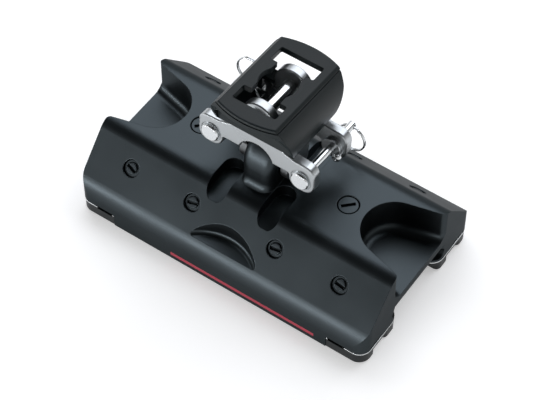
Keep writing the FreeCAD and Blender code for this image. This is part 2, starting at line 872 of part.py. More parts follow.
def cross_pin_clip():
    """Open spring clip in the groove of the cross pin."""
    across = vector(0, 1, 0)
    y = cheek_outer_y + 2 * running_clearance
    place = vector(0, y, lug_height)
    bore = cross_pin_diameter / 2 - clip_groove_depth + running_clearance
    clip = Part.makeCylinder(clip_diameter / 2, clip_thickness, place, across)
    clip = clip.cut(Part.makeCylinder(bore, clip_thickness, place, across))
    mouth = box((-bore * 0.8, y - 1, lug_height - clip_diameter), (bore * 0.8, y + 2, lug_height))
    return clip.cut(mouth)


def ear_pin(x, ring_angle):
    """Headed clevis pin through both ears on one side, with a cross hole for its ring."""
    across = vector(0, 1, 0)
    head_y = -cheek_pin_head_y - running_clearance - ear_pin_head_height
    start = vector(x, head_y, ear_pin_height)
    shaft = Part.makeCylinder(ear_pin_diameter / 2, ear_pin_tail_end - head_y, start, across)
    tail_rim = edges_where(shaft, lambda b: b.YLength < 1e-6 and b.YMin > ear_pin_tail_end - 1e-3)
    shaft = shaft.makeChamfer(ear_pin_chamfer, tail_rim)
    head = Part.makeCylinder(ear_pin_head_diameter / 2, ear_pin_head_height, start, across)
    head_rim = edges_where(head, lambda b: b.YLength < 1e-6 and b.YMax < head_y + 1e-3)
    head = head.makeChamfer(ear_pin_chamfer, head_rim)
    pin = shaft.fuse(head).removeSplitter()
    hole = Part.makeCylinder(
        ring_hole_radius, 2 * ear_pin_diameter, vector(-ear_pin_diameter, ring_hole_y, 0), vector(1, 0, 0)
    )
    hole.rotate(vector(0, 0, 0), across, -ring_angle)
    return pin.cut(hole.translated(vector(x, 0, ear_pin_height)))


def clip_ring(x, ring_angle):
    """Two-turn split ring hanging from the cross hole of an ear pin, its waisted section revolved."""
    wire = ring_wire_diameter / 2
    turn = ring_turn_pitch / 2
    side = turn + wire * cos(radians(30))
    half = [(wire / 2, side), (wire, turn), (wire / 2, 0), (wire, -turn), (wire / 2, -side)]
    outline = half + [(-a, b) for a, b in reversed(half)]
    points = [vector(ring_path_radius + a, ring_hole_y + b, 0) for a, b in outline]
    ring = Part.Face(Part.makePolygon(points + points[:1])).revolve(vector(0, 0, 0), vector(0, 1, 0), 360)
    ring.translate(vector(0, 0, -ring_drop))
    ring.rotate(vector(0, 0, 0), vector(0, 1, 0), -ring_angle)
    return ring.translated(vector(x, 0, ear_pin_height))


def boot_section(inset):
    """Barrel section of the boot, seen from the front, from its hem to its flat top."""
    top = boot_top_height - inset * boot_top_thickness / boot_wall
    top_x = boot_top_half_width - inset * 0.7
    belly_x = boot_belly_half_width - inset
    hem_x = boot_hem_half_width - inset
    low = boot_hem_height - (1 if inset > 0 else 0)
    right = Part.Arc(
        vector(hem_x, 0, low), vector(belly_x, 0, boot_belly_height), vector(top_x, 0, top)
    ).toShape()
    left = Part.Arc(
        vector(-top_x, 0, top), vector(-belly_x, 0, boot_belly_height), vector(-hem_x, 0, low)
    ).toShape()
    roof = Part.LineSegment(vector(top_x, 0, top), vector(-top_x, 0, top)).toShape()
    floor = Part.LineSegment(vector(-hem_x, 0, low), vector(hem_x, 0, low)).toShape()
    face = Part.Face(Part.Wire([right, roof, left, floor]))
    return face.extrude(vector(0, 4 * boot_middle_y, 0)).translated(vector(0, -2 * boot_middle_y, 0))


def boot_plan(inset):
    """Plan of the boot: straight sides and bowed front and rear."""
    reach = boot_belly_half_width + beyond
    bow = boot_middle_y - boot_corner_y
    corner_y = boot_middle_y - inset - bow * (reach / boot_top_half_width) ** 2
    middle_y = boot_middle_y - inset
    rear = Part.Arc(
        vector(reach, corner_y, 0), vector(0, middle_y, 0), vector(-reach, corner_y, 0)
    ).toShape()
    front = Part.Arc(
        vector(-reach, -corner_y, 0), vector(0, -middle_y, 0), vector(reach, -corner_y, 0)
    ).toShape()
    left = Part.LineSegment(vector(-reach, corner_y, 0), vector(-reach, -corner_y, 0)).toShape()
    right = Part.LineSegment(vector(reach, -corner_y, 0), vector(reach, corner_y, 0)).toShape()
    return Part.Face(Part.Wire([rear, left, front, right])).extrude(vector(0, 0, above))


def boot_shell(inset):
    return boot_section(inset).common(boot_plan(inset))


def boot_hem_tool():
    """Cuts the boot's lower edge: low between the cheeks, over the ears, then up to the lips."""
    inner = cheek_inner_y - seat_gap
    over_ears = notch_height + 1
    half = [
        (inner - 1.5, boot_hem_height - 2, 0),
        (inner - 1.5, boot_hem_height + 4, 2.0),
        (inner, over_ears, 2.0),
        (cheek_outer_y + 2, over_ears + 0.5, 4.0),
        (boot_corner_y - 1.5, boot_sill_height - 2, 4.0),
        (boot_middle_y + 1, boot_sill_height, 0),
        (boot_middle_y + beyond, boot_sill_height, 0),
        (boot_middle_y + beyond, boot_hem_height - 2, 0),
    ]
    reach = boot_belly_half_width + beyond
    rear = prism(half, "x", -reach, reach)
    return [rear, mirror_y(rear)]


def boot_groove_tool():
    """Shallow groove round the boot just under its top edge."""
    high = boot_top_height - boot_groove_drop + boot_groove_width
    low = boot_top_height - boot_groove_drop
    reach = 2 * boot_middle_y
    band = box((-reach, -reach, low), (reach, reach, high))
    return band.cut(boot_shell(boot_groove_depth))


def window_tool():
    """Keyhole window: two long slots joined by a round eye with straight necks."""
    low = boot_belly_height
    half_slot = window_slot_width / 2
    rear_low = window_slot_y - window_slot_depth / 2
    rear_high = window_slot_y + window_slot_depth / 2
    plan = [
        (-half_slot, rear_low, window_slot_radius),
        (half_slot, rear_low, window_slot_radius),
        (half_slot, rear_high, window_slot_radius),
        (-half_slot, rear_high, window_slot_radius),
    ]
    rear = prism(plan, "z", low, above)
    eye = Part.makeCylinder(window_eye_radius, above - low, vector(0, 0, low))
    half_neck = window_neck_width / 2
    neck = box((-half_neck, -window_slot_y, low), (half_neck, window_slot_y, above))
    return rear.fuse(mirror_y(rear)).fuse(eye).fuse(neck).removeSplitter()


def boot_ledges():
    """Blocks inside the boot that seat on the cheeks' tops and hold their horns from the sides."""
    inner = cheek_inner_y - seat_gap
    outer = cheek_outer_y + 2
    top = cheek_top_height + boot_ledge_thickness
    rear = box((-boot_belly_half_width, inner, 0), (boot_belly_half_width, outer, top))
    return [rear, mirror_y(rear)]


def cheek_rooms():
    """Room in the boot's ledges for the cheeks' upper ends and their lugs."""
    inner = cheek_inner_y - seat_gap
    outer = cheek_outer_y + seat_gap
    horn_reach = horn_half_width + seat_gap
    lug_reach = lug_radius + seat_gap
    ledge_top = cheek_top_height + boot_ledge_thickness
    sizes = [(horn_reach, cheek_top_height + running_clearance), (lug_reach, ledge_top + 1)]
    rooms = []
    for reach, top in sizes:
        rear = box((-reach, inner - 1, 0), (reach, outer, top))
        rooms += [rear, mirror_y(rear)]
    return rooms


def toggle_boot():
    """Moulded housing round the upper lugs, open at front and rear below its lips, seated on the cheeks."""
    shell = boot_shell(0)
    rim = edges_where(shell, lambda b: b.ZMin > boot_top_height - 1e-3)
    shell = shell.makeFillet(boot_edge_radius, rim).cut(boot_groove_tool())
    for tool in boot_hem_tool():
        shell = shell.cut(tool)
    cavity = boot_shell(boot_wall)
    for ledge in boot_ledges():
        cavity = cavity.cut(ledge)
    shell = shell.cut(cavity)
    for room in cheek_rooms():
        shell = shell.cut(room)
    room_end = boot_corner_y - boot_wall
    room_radius = cross_pin_head_diameter / 2 + pin_room_gap
    room_start = vector(0, -room_end, lug_height)
    pin_room = Part.makeCylinder(room_radius, 2 * room_end, room_start, vector(0, 1, 0))
    return shell.cut(pin_room).cut(window_tool())


def lean_back(shape):
    """Turns a shape of the toggle about the hinge pin to the lean at which it rests."""
    leaned = shape.copy()
    leaned.rotate(vector(0, 0, pivot_height), vector(1, 0, 0), -toggle_lean)
    return leaned


def save(name, shape):
    shape.exportStep("parts/" + name + ".step")


def main():
    os.makedirs("parts", exist_ok=True)
    save("car_body", car_body())
    save("pivot_bush", pivot_bush())
    save("plateau_screws", plateau_screws())
    plugs = front_slope_plugs()
    save("front_slope_plugs", plugs)
    save("rear_slope_plugs", mirror_y(plugs))
    for name, maker in (("end_plate", end_plate), ("end_cap", end_cap)):
        rear_right = maker()
        save(name + "_rear_right", rear_right)
        save(name + "_rear_left", mirror_x(rear_right))
        save(name + "_front_right", mirror_y(rear_right))
        save(name + "_front_left", mirror_y(mirror_x(rear_right)))
    save("end_cap_screws", end_cap_screws())
    retainer = ball_retainer()
    save("ball_retainer_rear", retainer)
    save("ball_retainer_front", mirror_y(retainer))
    save("retainer_screws", retainer_screws())
    balls = ball_loop()
    save("ball_loop_rear", balls)
    save("ball_loop_front", mirror_y(balls))
    save("toggle_frame", lean_back(toggle_frame()))
    save("toggle_boot", lean_back(toggle_boot()))
    save("lock_studs", lean_back(lock_studs()))
    save("pivot_pin", lean_back(pivot_pin()))
    save("cross_pin", lean_back(cross_pin()))
    save("cross_pin_clip", lean_back(cross_pin_clip()))
    sides = [("right", ear_pin_x, right_ring_angle), ("left", -ear_pin_x, -left_ring_angle)]
    for side, x, ring_angle in sides:
        save("ear_pin_" + side, lean_back(ear_pin(x, ring_angle)))
        save("clip_ring_" + side, lean_back(clip_ring(x, ring_angle)))


main()
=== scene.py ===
from math import cos, pi, radians, sin

import bmesh
import bpy
import numpy as np
from bpy.props import FloatProperty, FloatVectorProperty, IntProperty, PointerProperty
from mathutils import Matrix, Vector


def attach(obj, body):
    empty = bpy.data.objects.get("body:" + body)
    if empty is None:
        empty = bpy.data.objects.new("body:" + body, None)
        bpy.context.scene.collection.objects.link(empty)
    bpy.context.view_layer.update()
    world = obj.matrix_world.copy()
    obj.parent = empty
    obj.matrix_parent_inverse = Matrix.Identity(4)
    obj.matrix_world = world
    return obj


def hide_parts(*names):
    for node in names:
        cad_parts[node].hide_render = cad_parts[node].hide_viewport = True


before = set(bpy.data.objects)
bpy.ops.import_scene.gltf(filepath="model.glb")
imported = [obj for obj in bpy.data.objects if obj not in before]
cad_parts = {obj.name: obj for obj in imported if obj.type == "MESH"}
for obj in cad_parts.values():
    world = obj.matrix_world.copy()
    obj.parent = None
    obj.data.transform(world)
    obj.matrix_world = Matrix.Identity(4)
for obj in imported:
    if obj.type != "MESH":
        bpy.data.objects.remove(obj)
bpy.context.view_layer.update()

bl_info = {
    "name": "Traveller car dressing",
    "version": (1, 0, 0),
    "blender": (4, 5, 0),
    "location": "View3D > Sidebar > Traveller car",
    "description": "Dresses the packed mainsheet traveller car and sets its studio",
    "category": "Object",
}


# Kinds of settings


def colour(name, description, red, green, blue):
    """Colour with its default in linear values from 0 to 1."""
    return FloatVectorProperty(
        name=name, description=description, subtype="COLOR", size=3, min=0, max=1, default=(red, green, blue)
    )


def share(name, description, value):
    """Share from 0 to 1."""
    return FloatProperty(name=name, description=description, subtype="FACTOR", min=0, max=1, default=value)


def length(name, description, metres):
    """Length that is never below zero."""
    return FloatProperty(
        name=name, description=description, unit="LENGTH", subtype="DISTANCE", min=0, default=metres
    )


def offset(name, description, metres):
    """Distance that may point either way."""
    return FloatProperty(
        name=name, description=description, unit="LENGTH", subtype="DISTANCE", default=metres
    )


def point(name, description, x, y, z):
    """Place in metres."""
    return FloatVectorProperty(
        name=name, description=description, unit="LENGTH", subtype="TRANSLATION", size=3, default=(x, y, z)
    )


def angle(name, description, degrees):
    """Angle with its default in degrees."""
    return FloatProperty(
        name=name, description=description, unit="ROTATION", subtype="ANGLE", default=radians(degrees)
    )


def radiance(name, description, value):
    """Brightness of a light or a surface, where 1 shows as white."""
    return FloatProperty(name=name, description=description, min=0, default=value)


def count(name, description, value):
    """Number of steps along a surface."""
    return IntProperty(name=name, description=description, subtype="UNSIGNED", min=3, default=value)


class TravellerFinishes(bpy.types.PropertyGroup):
    """Colours and gloss of the car's finishes."""

    anodised: colour("Anodised colour", "Dyed oxide layer over the blasted metal", 0.042, 0.050, 0.054)
    anodised_edge: share("Anodised edge", "Share of the reflection that is left at grazing angles", 0.50)
    anodised_roughness: share("Anodised roughness", "Matt blasted surface under the oxide", 0.38)
    moulded: colour("Moulded colour", "Black plastic of caps and strips", 0.0060, 0.0080, 0.0088)
    moulded_roughness: share("Moulded roughness", "Spark-eroded mould surface", 0.45)
    boot: colour("Boot colour", "Soft black plastic of the boot", 0.0040, 0.0082, 0.0092)
    boot_roughness: share("Boot roughness", "Semi-matt mould surface", 0.42)
    plastic_gloss: share("Plastic gloss", "Strength of the black plastics' reflection", 0.25)
    steel: colour("Cast steel colour", "Tumbled stainless casting", 0.43, 0.45, 0.46)
    steel_roughness: share("Cast steel roughness", "Tumbled surface of the frame", 0.28)
    polished: colour("Polished steel colour", "Turned and polished pins and rings", 0.70, 0.72, 0.73)
    polished_roughness: share("Polished steel roughness", "Fine turned surface", 0.16)
    pinstripe: colour("Pinstripe colour", "Plain red line along the front side", 0.32, 0.018, 0.040)
    ball: colour("Ball colour", "Brown bearing plastic", 0.10, 0.060, 0.028)
    ball_roughness: share("Ball roughness", "Ground surface of the balls", 0.35)


class TravellerSizes(bpy.types.PropertyGroup):
    """Sizes of the pieces that are made here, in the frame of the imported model."""

    ball_diameter: length("Ball diameter", "Balls in both loops", 0.012)
    ball_gap: length("Ball gap", "Least gap between two balls", 0.00025)
    ball_rings: count("Ball rings", "Points of a ball from pole to pole", 13)
    ball_sides: count("Ball sides", "Points round a ball", 24)
    race_offset: length("Race offset", "Distance of the running race from the middle plane", 0.0275)
    race_height: length("Race height", "Height of the ball loops over the feet", 0.020)
    race_half_length: length("Race half length", "Half of the straight part of a loop", 0.090)
    turn_radius: length("Turn radius", "Radius of the loops' ends", 0.012)
    ring_diameter: length("Ring diameter", "Outer diameter of the split rings", 0.023)
    ring_wire: length("Ring wire", "Diameter of the rings' wire", 0.0012)
    ring_pitch: length("Ring pitch", "Distance between the two turns", 0.00125)
    ring_start: angle("Ring start", "Place of the wire's first end, from the ring's top", 31.513)
    ring_shift_start: angle("Shift start", "Place along the wire where it leaves its first turn", 288.0)
    ring_shift_span: angle("Shift span", "Part of the wire that leads over to the second turn", 144.0)
    ring_steps: count("Ring steps", "Points along the wire", 241)
    wire_sides: count("Wire sides", "Points round the wire", 14)
    ring_hole_y: length("Ring hole", "Place of the pins' cross holes", 0.0385)
    ring_drop: length("Ring drop", "Distance of a ring's centre below its hole", 0.01069)
    right_ring: angle("Right ring angle", "Lean of the right ring from hanging", 8.0)
    left_ring: angle("Left ring angle", "Lean of the left ring from hanging", 104.0)
    ear_pin_x: length("Ear pin offset", "Distance of the ear pins from the middle", 0.037)
    ear_pin_height: length("Ear pin height", "Height of the ear pins over the feet, toggle upright", 0.096)
    hinge_height: length("Hinge height", "Height of the toggle's hinge over the feet", 0.081)
    toggle_lean: angle("Toggle lean", "Lean of the toggle to the rear", 4.5)
    stripe_left: offset("Stripe left end", "Left end of the pinstripe", -0.041)
    stripe_right: offset("Stripe right end", "Right end of the pinstripe", 0.081)
    stripe_bottom: length("Stripe bottom", "Lower edge of the pinstripe over the feet", 0.0046)
    stripe_top: length("Stripe top", "Upper edge of the pinstripe over the feet", 0.0078)
    stripe_face: offset("Stripe face", "The pinstripe is only in front of this plane", -0.0692)


class TravellerStage(bpy.types.PropertyGroup):
    """Camera and studio."""

    azimuth: angle("Camera azimuth", "Direction of the camera round the car", 34.54)
    elevation: angle("Camera elevation", "Height of the camera over the horizon", 52.86)
    roll: angle("Camera roll", "Turn of the camera about its own axis", 0.12)
    distance: length("Camera distance", "Distance of the camera", 1.458)
    across: offset("Offset across", "Sideways offset of the view", -0.00193)
    upwards: offset("Offset up", "Upward offset of the view", 0.0143)
    lens: FloatProperty(name="Lens", description="Focal length", unit="CAMERA", min=1, default=134.2)
    aim: point("Aim", "Point that the lights are turned to", 0, 0, 0.05)
    back_place: point("Back light place", "Middle of the soft light behind", -0.35, 1.25, 2.0)
    back_width: length("Back light width", "Width of the soft light behind", 3.4)
    back_height: length("Back light height", "Height of the soft light behind", 1.8)
    back_strength: radiance("Back light", "Brightness of the soft light behind", 2.65)
    back_tint: colour("Back light tint", "Slightly cool daylight", 0.9151, 0.9434, 1.0)
    front_place: point("Front light place", "Middle of the low light in front", -0.55, -1.5, 0.11)
    front_width: length("Front light width", "Width of the low light in front", 2.4)
    front_height: length("Front light height", "Height of the low light in front", 0.22)
    front_strength: radiance("Front light", "Brightness of the low light in front", 12.36)
    front_tint: colour("Front light tint", "Nearly neutral daylight", 0.9612, 0.9709, 1.0)
    fill_strength: radiance("Fill", "Even light on matt surfaces", 0.40)
    wall_strength: radiance("Walls", "Brightness of the studio's walls in reflections", 0.66)
    ceiling_strength: radiance("Ceiling", "Brightness of the dark ceiling in reflections", 0.03)
    wall_top: angle("Wall top", "Height over the horizon where the walls start to darken", 13.0)
    ceiling_start: angle("Ceiling start", "Height over the horizon where the ceiling starts", 36.0)
    floor_reach: length("Floor reach", "Half width of the floor", 6.0)
    floor_colour: colour("Floor colour", "Pale grey paper", 0.78, 0.78, 0.78)
    floor_glow: radiance("Floor white", "Lifts the floor to white in the picture", 0.38)


# Mesh helpers


def put_mesh(name, points, faces):
    """Object from an array of points and an array of faces, smooth-shaded."""
    mesh = bpy.data.meshes.new(name)
    mesh.from_pydata(points.reshape(-1, 3).tolist(), [], faces.tolist())
    mesh.polygons.foreach_set("use_smooth", np.ones(len(mesh.polygons), bool))
    mesh.update()
    piece = bpy.data.objects.new(name, mesh)
    bpy.context.scene.collection.objects.link(piece)
    return piece


def grid_faces(rows, columns):
    """Quads of a grid of rows by columns points, closed round its columns."""
    i = np.arange(rows - 1)[:, None]
    j = np.arange(columns)[None, :]
    j_next = (j + 1) % columns
    corners = [i * columns + j, (i + 1) * columns + j, (i + 1) * columns + j_next, i * columns + j_next]
    return np.stack(corners, -1).reshape(-1, 4)


def close_up(piece, merge_distance=1e-7):
    """Merges double points, which closes poles and ends, and turns all faces outwards."""
    form = bmesh.new()
    form.from_mesh(piece.data)
    bmesh.ops.remove_doubles(form, verts=form.verts, dist=merge_distance)
    bmesh.ops.recalc_face_normals(form, faces=form.faces)
    form.to_mesh(piece.data)
    form.free()


def turn_about(across, upward, turn):
    """Turns a pair of coordinates by an angle, from upward towards across."""
    return across * cos(turn) + upward * sin(turn), upward * cos(turn) - across * sin(turn)


def dress(piece, material, body, stands_for):
    """Gives a piece its material and its body, and hides the node that it stands for."""
    piece.data.materials.append(material)
    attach(piece, body)
    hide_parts(stands_for)


def dress_nodes(names, material):
    """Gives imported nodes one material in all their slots."""
    for name in names:
        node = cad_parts[name]
        if not node.material_slots:
            node.data.materials.append(material)
        for place in node.material_slots:
            place.material = material


# Materials


def shader_node(tree, kind, place, **settings):
    """New shader node at a place in the editor, with its settings."""
    made = tree.nodes.new(kind)
    made.location = place
    for name, value in settings.items():
        setattr(made, name, value)
    return made


def new_material(name):
    """Empty node material with its shader and output."""
    made = bpy.data.materials.new(name)
    made.use_nodes = True
    tree = made.node_tree
    tree.nodes.clear()
    shader = shader_node(tree, "ShaderNodeBsdfPrincipled", (300, 0))
    output = shader_node(tree, "ShaderNodeOutputMaterial", (600, 0))
    tree.links.new(shader.outputs["BSDF"], output.inputs["Surface"])
    return made, tree, shader


def fine_grain_group():
    """Fine grain: a fine noise in object space gives a height, and a wide one gives a cloudy mask."""
    name = "Fine grain"
    if name in bpy.data.node_groups:
        return bpy.data.node_groups[name]
    tree = bpy.data.node_groups.new(name, "ShaderNodeTree")
    for socket, scale in (("Scale", 900.0), ("Cloud scale", 25.0)):
        made = tree.interface.new_socket(name=socket, in_out="INPUT", socket_type="NodeSocketFloat")
        made.default_value = scale
    for socket in ("Height", "Cloud"):
        tree.interface.new_socket(name=socket, in_out="OUTPUT", socket_type="NodeSocketFloat")
    start = shader_node(tree, "NodeGroupInput", (-600, 0))
    end = shader_node(tree, "NodeGroupOutput", (400, 0))
    place = shader_node(tree, "ShaderNodeTexCoord", (-600, -200))
    fine = shader_node(tree, "ShaderNodeTexNoise", (-200, 100))
    fine.inputs["Detail"].default_value = 3.0
    fine.inputs["Roughness"].default_value = 0.6
    cloud = shader_node(tree, "ShaderNodeTexNoise", (-200, -200))
    cloud.inputs["Detail"].default_value = 2.0
    tree.links.new(place.outputs["Object"], fine.inputs["Vector"])
    tree.links.new(place.outputs["Object"], cloud.inputs["Vector"])
    tree.links.new(start.outputs["Scale"], fine.inputs["Scale"])
    tree.links.new(start.outputs["Cloud scale"], cloud.inputs["Scale"])
    tree.links.new(fine.outputs["Fac"], end.inputs["Height"])
    tree.links.new(cloud.outputs["Fac"], end.inputs["Cloud"])
    return tree


def grained_material(name, base, roughness, metallic=0.0, gloss=0.5, grain_scale=1500.0,
                     grain_height=0.00002, edge=0.0005, tone_swing=0.12, roughness_swing=0.08):
    """Surface with a fine grain, a cloudy change of tone and gloss, and softly rounded edges.

    grain_height and edge are in metres, and the swings say how far the clouds change tone and gloss."""
    made, tree, shader = new_material(name)
    grain = shader_node(tree, "ShaderNodeGroup", (-700, 0), node_tree=fine_grain_group())
    grain.inputs["Scale"].default_value = grain_scale
    tone = shader_node(tree, "ShaderNodeMix", (-200, 250), data_type="RGBA")
    tone.inputs["A"].default_value = (*[c * (1 - tone_swing) for c in base], 1)
    tone.inputs["B"].default_value = (*[min(1, c * (1 + tone_swing)) for c in base], 1)
    clouds = shader_node(tree, "ShaderNodeMapRange", (-200, 0))
    clouds.inputs["To Min"].default_value = roughness - roughness_swing
    clouds.inputs["To Max"].default_value = roughness + roughness_swing
    rounding = shader_node(tree, "ShaderNodeBevel", (-450, -300), samples=6)
    rounding.inputs["Radius"].default_value = edge
    bump = shader_node(tree, "ShaderNodeBump", (-150, -250))
    bump.inputs["Strength"].default_value = 0.5
    bump.inputs["Distance"].default_value = grain_height
    tree.links.new(grain.outputs["Cloud"], tone.inputs["Factor"])
    tree.links.new(grain.outputs["Cloud"], clouds.inputs["Value"])
    tree.links.new(grain.outputs["Height"], bump.inputs["Height"])
    tree.links.new(rounding.outputs["Normal"], bump.inputs["Normal"])
    tree.links.new(tone.outputs["Result"], shader.inputs["Base Color"])
    tree.links.new(clouds.outputs["Result"], shader.inputs["Roughness"])
    tree.links.new(bump.outputs["Normal"], shader.inputs["Normal"])
    shader.inputs["Metallic"].default_value = metallic
    shader.inputs["Specular IOR Level"].default_value = gloss
    return made, tree, shader, tone


def add_pinstripe(tree, shader, tone, paint, sizes):
    """Plain painted line: a mask of the front side between two lengths and two heights.

    Inside the mask the base colour is the paint, and the surface is no metal."""
    place = shader_node(tree, "ShaderNodeTexCoord", (-1300, 600))
    split = shader_node(tree, "ShaderNodeSeparateXYZ", (-1100, 600))
    tree.links.new(place.outputs["Object"], split.inputs["Vector"])
    limits = (
        ("X", "GREATER_THAN", sizes.stripe_left),
        ("X", "LESS_THAN", sizes.stripe_right),
        ("Z", "GREATER_THAN", sizes.stripe_bottom),
        ("Z", "LESS_THAN", sizes.stripe_top),
        ("Y", "LESS_THAN", sizes.stripe_face),
    )
    mask = None
    for i, (axis, operation, limit) in enumerate(limits):
        test = shader_node(tree, "ShaderNodeMath", (-900, 900 - 160 * i), operation=operation)
        tree.links.new(split.outputs[axis], test.inputs[0])
        test.inputs[1].default_value = limit
        if mask is None:
            mask = test
            continue
        both = shader_node(tree, "ShaderNodeMath", (-700, 900 - 160 * i), operation="MULTIPLY")
        tree.links.new(mask.outputs[0], both.inputs[0])
        tree.links.new(test.outputs[0], both.inputs[1])
        mask = both
    stripe = shader_node(tree, "ShaderNodeMix", (50, 300), data_type="RGBA")
    stripe.inputs["B"].default_value = (*paint, 1)
    tree.links.new(mask.outputs[0], stripe.inputs["Factor"])
    tree.links.new(tone.outputs["Result"], stripe.inputs["A"])
    tree.links.new(stripe.outputs["Result"], shader.inputs["Base Color"])
    bare_metal = shader_node(tree, "ShaderNodeMath", (50, 100), operation="SUBTRACT")
    bare_metal.inputs[0].default_value = 1.0
    tree.links.new(mask.outputs[0], bare_metal.inputs[1])
    tree.links.new(bare_metal.outputs[0], shader.inputs["Metallic"])


def finish_of(name):
    """The finish of that name, made once from the colours that the user has set."""
    if name in bpy.data.materials:
        return bpy.data.materials[name]
    looks = bpy.context.scene.traveller_finishes
    settings = {
        "Black anodised": dict(
            base=looks.anodised, roughness=looks.anodised_roughness, grain_scale=1400.0,
            grain_height=0.00003, edge=0.0006,
        ),
        "Black moulded": dict(
            base=looks.moulded, roughness=looks.moulded_roughness, gloss=looks.plastic_gloss,
        ),
        "Boot plastic": dict(
            base=looks.boot, roughness=looks.boot_roughness, gloss=looks.plastic_gloss, grain_scale=1800.0,
            edge=0.0008,
        ),
        "Tumbled steel": dict(
            base=looks.steel, roughness=looks.steel_roughness, metallic=1.0, grain_scale=2500.0,
            grain_height=0.000003, edge=0.0007, tone_swing=0.08, roughness_swing=0.05,
        ),
        "Polished steel": dict(
            base=looks.polished, roughness=looks.polished_roughness, metallic=1.0, grain_scale=3000.0,
            grain_height=0.000004, edge=0.0003, tone_swing=0.05, roughness_swing=0.04,
        ),
        "Bearing plastic": dict(
            base=looks.ball, roughness=looks.ball_roughness, grain_scale=2500.0, edge=0.0001,
        ),
    }
    made, tree, shader, tone = grained_material(name, **settings[name])
    if name == "Black anodised":
        shader.inputs["Specular Tint"].default_value = (*[looks.anodised_edge] * 3, 1)
        add_pinstripe(tree, shader, tone, looks.pinstripe, bpy.context.scene.traveller_sizes)
    return made


# Pieces


class TRAVELLER_OT_body(bpy.types.Operator):
    """Anodised finish of the car's body, its plugs and screws."""

    bl_idname = "traveller.body"
    bl_label = "Car body and plugs"

    def execute(self, context):
        nodes = ("car_body", "plateau_screws", "front_slope_plugs", "rear_slope_plugs")
        dress_nodes(nodes, finish_of("Black anodised"))
        return {"FINISHED"}


class TRAVELLER_OT_underside(bpy.types.Operator):
    """Finishes of caps, plates, strips, bush and their screws."""

    bl_idname = "traveller.underside"
    bl_label = "Caps, plates and strips"

    def execute(self, context):
        corners = ("front_left", "front_right", "rear_left", "rear_right")
        caps = ["end_cap_" + corner for corner in corners]
        plates = ["end_plate_" + corner for corner in corners]
        strips = ["ball_retainer_front", "ball_retainer_rear", "pivot_bush"]
        dress_nodes(caps + strips, finish_of("Black moulded"))
        dress_nodes(plates + ["end_cap_screws", "retainer_screws"], finish_of("Polished steel"))
        return {"FINISHED"}


def loop_centres(sizes):
    """Ball centres on the rear loop: two straights joined by two half circles, evenly spread.

    Along a straight x runs with the distance travelled. Round an end x and y are radius times the sine
    and cosine of the distance over the radius."""
    half = sizes.race_half_length
    radius = sizes.turn_radius
    straight = 2 * half
    turn = pi * radius
    total = 2 * straight + 2 * turn
    balls = int(total / (sizes.ball_diameter + sizes.ball_gap))
    travel = np.arange(balls) * total / balls
    near = 0 * travel + sizes.race_offset
    middle = sizes.race_offset + radius
    right = (travel - straight) / radius
    left = (travel - 2 * straight - turn) / radius
    stage = np.digitize(travel, [straight, straight + turn, 2 * straight + turn])
    x = np.choose(stage, [
        travel - half, half + radius * np.sin(right),
        half - (travel - straight - turn), -half - radius * np.sin(left),
    ])
    y = np.choose(stage, [
        near, middle - radius * np.cos(right), near + 2 * radius, middle + radius * np.cos(left),
    ])
    return np.stack([x, y, 0 * x + sizes.race_height], -1)


def ball_set(name, centres, sizes):
    """Balls as one piece: centre plus radius times (sin a cos b, sin a sin b, cos a) for each centre."""
    rings, sides = sizes.ball_rings, sizes.ball_sides
    a = np.linspace(0, pi, rings)[:, None]
    b = np.linspace(0, 2 * pi, sides, endpoint=False)[None, :]
    shell = np.stack([np.sin(a) * np.cos(b), np.sin(a) * np.sin(b), np.cos(a) + 0 * b], -1)
    points = centres[:, None, None, :] + sizes.ball_diameter / 2 * shell[None]
    first_points = np.arange(len(centres))[:, None, None] * rings * sides
    faces = (grid_faces(rings, sides)[None] + first_points).reshape(-1, 4)
    piece = put_mesh(name, points, faces)
    close_up(piece)
    return piece


class TRAVELLER_OT_balls(bpy.types.Operator):
    """Smooth balls in both loops."""

    bl_idname = "traveller.balls"
    bl_label = "Ball loops"

    def execute(self, context):
        sizes = context.scene.traveller_sizes
        rear = loop_centres(sizes)
        for name, centres in (("rear", rear), ("front", rear * (1, -1, 1))):
            piece = ball_set("balls_" + name, centres, sizes)
            dress(piece, finish_of("Bearing plastic"), "car", "ball_loop_" + name)
        return {"FINISHED"}


